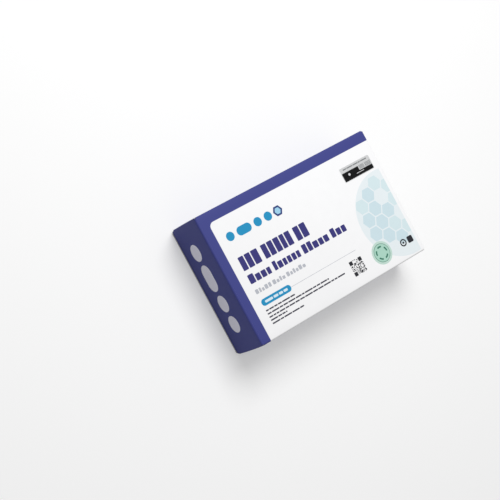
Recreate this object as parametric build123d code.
from build123d import *
import os
from math import atan, ceil, cos, degrees, pi, radians, sqrt, tan

# Folding carton of a lateral flow test kit, lying on its large bottom panel, with the kit inside.
# Millimetres. X runs along the length, Y from the front side to the back side, Z up.
# The origin is the centre of the bottom face. The printed panel is the top one, at +Z.

os.makedirs("parts", exist_ok=True)

# Contents: one sealed pouch, swab, tube and cap for each test, and one leaflet
test_count = 10
pouch_length = 115.0
pouch_width = 60.0
pouch_thickness = 5.0
pouch_foil = 0.4
pouch_end_seal = 11.0
pouch_side_seal = 7.0
pouch_slope = 8.0
notch_size = 1.6
notch_from_end = 6.0

tube_length = 44.0
tube_radius = 5.6
cap_radius = 6.6
cap_flats = 18
cap_skirt = 8.0
cap_overlap = 7.0
cap_clearance = 0.05
nozzle_length = 12.0
nozzle_root_radius = 2.8
nozzle_tip_radius = 1.5
nozzle_flats = 12

swab_pack_length = 174.0
swab_pack_width = 29.0
swab_pack_thickness = 4.8
swab_pack_paper = 0.3
swab_pack_seal = 7.0
swab_pack_slope = 3.5
swab_columns = 2

leaflet_length = 150.0
leaflet_width = 56.0
leaflet_paper = 0.25
leaflet_layers = 8
leaflet_fold_gap = 0.2

# Board and folds of the carton
board = 0.5
edge_radius = 1.5
lid_fold_radius = 1.6
dust_fold_radius = 1.0
tuck_fold_radius = 0.8
crease_land = 0.1

# Clearances between the pieces
stack_gap = 0.05
pile_gap = 0.1
column_gap = 2.0
side_clearance = 0.25
length_clearance = 1.4
headroom = 0.5
tuck_tip_gap = 1.0
tuck_clearance = 0.25
lid_gap = 0.3

# Flaps and lids
dust_depth = 40.0
dust_shoulder = 9.0
dust_taper = 14.0
dust_lower_gap = 2.7
dust_upper_gap = 0.8
dust_corner_radius = 4.0
glue_flap_height = 15.0
glue_flap_taper = 35.0
tuck_reach = 12.0
tuck_rise = 8.0
tuck_shoulder = 2.5
tuck_corner_radius = 7.0
lid_side_inset = 1.0
lid_corner_radius = 1.2

# Silver film sticker on the printed panel
sticker_length = 36.4
sticker_width = 14.0
sticker_film = 0.1
sticker_corner_radius = 1.2
sticker_from_right = 7.8
sticker_from_back = 22.6

# Room for the contents, and the carton that is folded round it
side_gap = edge_radius + side_clearance
pouch_pitch = pouch_thickness + stack_gap
swab_pitch = swab_pack_thickness + stack_gap
swab_rows = ceil(test_count / swab_columns)
leaflet_pitch = leaflet_paper + leaflet_fold_gap
leaflet_thickness = leaflet_layers * leaflet_paper + (leaflet_layers - 1) * leaflet_fold_gap
cap_flat_radius = cap_radius * cos(pi / cap_flats)
pile_pitch = 2 * cap_radius + pile_gap
pile_rise = pile_pitch * sqrt(3) / 2
pile_rows = ceil((sqrt(8 * test_count + 1) - 1) / 2)
pile_height = 2 * cap_flat_radius + (pile_rows - 1) * pile_rise
pile_width = 2 * cap_radius + (pile_rows - 1) * pile_pitch
cap_start = tube_length - cap_overlap
tube_overall = cap_start + cap_skirt + nozzle_length

front_bay_width = max(pouch_width, pile_width)
swab_bay_width = swab_columns * swab_pack_width + (swab_columns - 1) * column_gap
back_bay_width = max(swab_bay_width, leaflet_width)
room_length = max(pouch_length + length_clearance + tube_overall, swab_pack_length, leaflet_length)
room_width = front_bay_width + column_gap + back_bay_width + 2 * side_gap
room_height = headroom + max(
    test_count * pouch_pitch, pile_height, swab_rows * swab_pitch + leaflet_thickness
)

carton_length = room_length + 2 * (tuck_reach + tuck_tip_gap)
carton_width = room_width + 2 * board
carton_height = room_height + 2 * board

half_length = carton_length / 2
half_width = carton_width / 2
end_setback = max(lid_fold_radius, board + lid_gap + dust_fold_radius) + crease_land
panel_end = half_length - end_setback
lid_half_width = half_width - lid_side_inset
tuck_half_width = lid_half_width - tuck_shoulder


def board_face(points, radii, plane, side=Side.LEFT):
    """Section of a board strip: its outer line runs through the points, its thickness lies on one side."""
    outer_line = FilletPolyline(*points, radius=radii)
    return plane * make_face(offset(outer_line, amount=board, side=side, closed=True))


def carton_sleeve():
    """The four panels folded into a tube, with the bottom panel longer by the two lid folds."""
    seam_y = half_width - board - edge_radius
    section = board_face(
        [
            (half_width, edge_radius),
            (half_width, carton_height),
            (-half_width, carton_height),
            (-half_width, 0),
            (seam_y, 0),
        ],
        [edge_radius] * 3,
        Plane.YZ,
    )
    sleeve = extrude(section, panel_end, both=True)
    bottom_width = seam_y + half_width - edge_radius
    bottom_centre = seam_y - bottom_width / 2
    bottom = Pos(0, bottom_centre, board / 2) * Box(carton_length, bottom_width, board)
    return sleeve + bottom


def glue_flap():
    """The flap of the bottom panel, glued to the inner face of the back side, with tapered ends."""
    flap_y = half_width - board
    start_y = flap_y - edge_radius - crease_land
    section = board_face([(start_y, 0), (flap_y, 0), (flap_y, glue_flap_height)], [edge_radius], Plane.YZ)
    strip = extrude(section, panel_end, both=True)
    shortened = glue_flap_height * tan(radians(glue_flap_taper))
    outline = Polyline(
        (-panel_end, -board),
        (panel_end, -board),
        (panel_end, edge_radius),
        (panel_end - shortened, glue_flap_height + board),
        (-panel_end + shortened, glue_flap_height + board),
        (-panel_end, edge_radius),
        close=True,
    )
    prism = extrude(Plane.XZ * make_face(outline), carton_width, both=True)
    return strip & prism


def dust_flap():
    """The dust flap at the left end of the front side, folded in behind the lid."""
    flap_x = -half_length + board + lid_gap
    low = board + dust_lower_gap
    high = carton_height - board - dust_upper_gap
    section = board_face(
        [(-panel_end, -half_width), (flap_x, -half_width), (flap_x, -half_width + dust_depth)],
        [dust_fold_radius],
        Plane.XY,
        Side.RIGHT,
    )
    strip = extrude(Pos(0, 0, low) * section, high - low)
    tip_y = -half_width + dust_depth
    rise = (dust_depth - dust_shoulder) * tan(radians(dust_taper))
    outline = make_face(
        Polyline(
            (-half_width - board, low),
            (-half_width + dust_shoulder, low),
            (tip_y, low + rise),
            (tip_y, high),
            (-half_width - board, high),
            close=True,
        )
    )
    outline = fillet(outline.vertices().group_by(Axis.X)[-1], dust_corner_radius)
    prism = extrude(Plane.YZ * outline, -carton_length)
    return strip & prism


def carton():
    """Sleeve, glue flap and four dust flaps: one sheet of board, folded and glued."""
    front_left = dust_flap()
    front_pair = front_left + mirror(front_left, about=Plane.YZ)
    back_pair = mirror(front_pair, about=Plane.XZ)
    return carton_sleeve() + glue_flap() + front_pair + back_pair


def lid_panel(shoulder_z):
    """The left end panel with its fold at the top panel, down to its two lower shoulders."""
    section = board_face(
        [(-panel_end, carton_height), (-half_length, carton_height), (-half_length, shoulder_z)],
        [lid_fold_radius],
        Plane.XZ,
    )
    panel = extrude(section, lid_half_width, both=True)
    lower_corners = panel.edges().filter_by(Axis.X).group_by(Axis.Z)[0]
    return fillet(lower_corners, lid_corner_radius)


def tuck_tab(shoulder_z, low_z):
    """The tab below the shoulders: it folds inwards and rises a little from the bottom panel to its tip."""
    strip_reach = tuck_reach + board
    tip_z = low_z + strip_reach * tan(radians(tuck_rise))
    section = board_face(
        [(-half_length, shoulder_z), (-half_length, low_z), (-half_length + strip_reach, tip_z)],
        [tuck_fold_radius],
        Plane.XZ,
    )
    strip = extrude(section, lid_half_width, both=True)
    plan_x = -half_length + (tuck_reach - board) / 2
    plan = Pos(plan_x, 0) * Rectangle(tuck_reach + board, 2 * tuck_half_width)
    plan = fillet(plan.vertices().group_by(Axis.X)[-1], tuck_corner_radius)
    return strip & extrude(plan, carton_height, both=True)


def tuck_lid():
    """The left lid: one strip of board from its fold at the top panel to the tip of its tuck tab."""
    low_z = board + tuck_clearance
    shoulder_z = low_z + tuck_fold_radius * tan(radians(90 + tuck_rise) / 2) + crease_land
    return lid_panel(shoulder_z) + tuck_tab(shoulder_z, low_z)


def film_sticker():
    """Thin film label, stuck on the top panel near its right end."""
    x = half_length - sticker_from_right - sticker_length / 2
    y = half_width - sticker_from_back - sticker_width / 2
    outline = RectangleRounded(sticker_length, sticker_width, sticker_corner_radius)
    return Pos(x, y, carton_height) * extrude(outline, sticker_film)


def tapered_bulge(length, width, height, slope):
    """One side of a filled pouch: a rectangle that narrows by the slope on each side up to its crown."""
    return extrude(Rectangle(length, width), height, taper=degrees(atan(slope / height)))


def cassette_pouch():
    """Sealed foil pouch that holds one test cassette, with flat seals and two tear notches."""
    outline = Rectangle(pouch_length, pouch_width)
    notch = Rectangle(notch_size, notch_size, rotation=45)
    notch_x = pouch_length / 2 - notch_from_end
    for side in (-1, 1):
        outline -= Pos(notch_x, side * pouch_width / 2) * notch
    foil = extrude(outline, pouch_foil / 2, both=True)
    length = pouch_length - 2 * pouch_end_seal
    width = pouch_width - 2 * pouch_side_seal
    bulge = tapered_bulge(length, width, pouch_thickness / 2, pouch_slope)
    return foil + bulge + mirror(bulge, about=Plane.XY)


def swab_pack():
    """Sealed peel pack of one swab: a flat paper back and a formed film channel."""
    paper = Pos(0, 0, swab_pack_paper / 2) * Box(swab_pack_length, swab_pack_width, swab_pack_paper)
    length = swab_pack_length - 2 * swab_pack_seal
    width = swab_pack_width - 2 * swab_pack_seal
    channel = tapered_bulge(length, width, swab_pack_thickness, swab_pack_slope)
    return paper + channel


def buffer_tube():
    """Filled extraction tube, laid along X with its bottom at x = 0."""
    return Plane.YZ * extrude(Circle(tube_radius), tube_length)


def dropper_cap():
    """Cap pushed over the tube's mouth, with grip flats round its skirt and a tapered dropper nozzle."""
    skirt = extrude(RegularPolygon(cap_radius, cap_flats), cap_skirt)
    bore = extrude(Circle(tube_radius + cap_clearance), cap_overlap + cap_clearance)
    narrowing = (nozzle_root_radius - nozzle_tip_radius) * cos(pi / nozzle_flats)
    taper = degrees(atan(narrowing / nozzle_length))
    nozzle = extrude(RegularPolygon(nozzle_root_radius, nozzle_flats), nozzle_length, taper=taper)
    upright_cap = skirt - bore + Pos(0, 0, cap_skirt) * nozzle
    return Pos(cap_start, 0, 0) * (Plane.YZ * upright_cap)


def folded_leaflet():
    """Instruction leaflet, folded to and fro into a flat bundle along its length."""
    fold_radius = leaflet_paper + leaflet_fold_gap / 2
    reach = leaflet_width / 2
    bundle = None
    for layer in range(leaflet_layers):
        z = layer * leaflet_pitch
        sheet = Pos(0, 0, z + leaflet_paper / 2) * Box(
            leaflet_length, leaflet_width - 2 * fold_radius, leaflet_paper
        )
        bundle = sheet if bundle is None else bundle + sheet
    for fold in range(leaflet_layers - 1):
        side = 1 if fold % 2 == 0 else -1
        z = fold * leaflet_pitch + fold_radius
        ring = Circle(fold_radius) - Circle(leaflet_fold_gap / 2)
        half = ring & Pos(side * reach, 0) * Rectangle(2 * reach, 4 * fold_radius)
        bend = extrude(Plane.YZ * half, leaflet_length / 2, both=True)
        bundle += Pos(0, side * (reach - fold_radius), z) * bend
    return bundle


def write(solid, node):
    """Writes one sub-part under its node's name."""
    export_step(solid, f"parts/{node}.step")


def pile_places():
    """Places of the tubes in a pile that loses one tube a row: (y, z) of each tube's axis."""
    places = []
    bay_centre = -half_width + board + side_gap + front_bay_width / 2
    for row in range(pile_rows):
        in_row = pile_rows - row
        z = board + cap_flat_radius + row * pile_rise
        for column in range(in_row):
            y = bay_centre + (column - (in_row - 1) / 2) * pile_pitch
            places.append((y, z))
    return places[:test_count]


write(carton(), "carton")
left_lid = tuck_lid()
write(left_lid, "left_lid")
write(mirror(left_lid, about=Plane.YZ), "right_lid")
write(film_sticker(), "film_sticker")

pouch = cassette_pouch()
pouch_x = -room_length / 2 + pouch_length / 2
pouch_y = -half_width + board + side_gap + pouch_width / 2
for number in range(test_count):
    z = board + pouch_thickness / 2 + number * pouch_pitch
    write(Pos(pouch_x, pouch_y, z) * pouch, f"cassette_pouch_{number + 1:02d}")

pack = swab_pack()
back_bay_end = half_width - board - side_gap
for number in range(test_count):
    row, column = divmod(number, swab_columns)
    y = back_bay_end - swab_pack_width / 2 - column * (swab_pack_width + column_gap)
    write(Pos(0, y, board + row * swab_pitch) * pack, f"swab_pack_{number + 1:02d}")

tube = buffer_tube()
cap = dropper_cap()
tube_x = room_length / 2 - tube_overall
for number, (y, z) in enumerate(pile_places(), start=1):
    write(Pos(tube_x, y, z) * tube, f"buffer_tube_{number:02d}")
    write(Pos(tube_x, y, z) * cap, f"dropper_cap_{number:02d}")

leaflet_y = back_bay_end - back_bay_width / 2
write(Pos(0, leaflet_y, board + swab_rows * swab_pitch) * folded_leaflet(), "leaflet")

print(f"carton {carton_length:.2f} x {carton_width:.2f} x {carton_height:.2f} mm")
print(f"lid hinge at x = {panel_end:.2f} mm, z = {carton_height:.2f} mm")
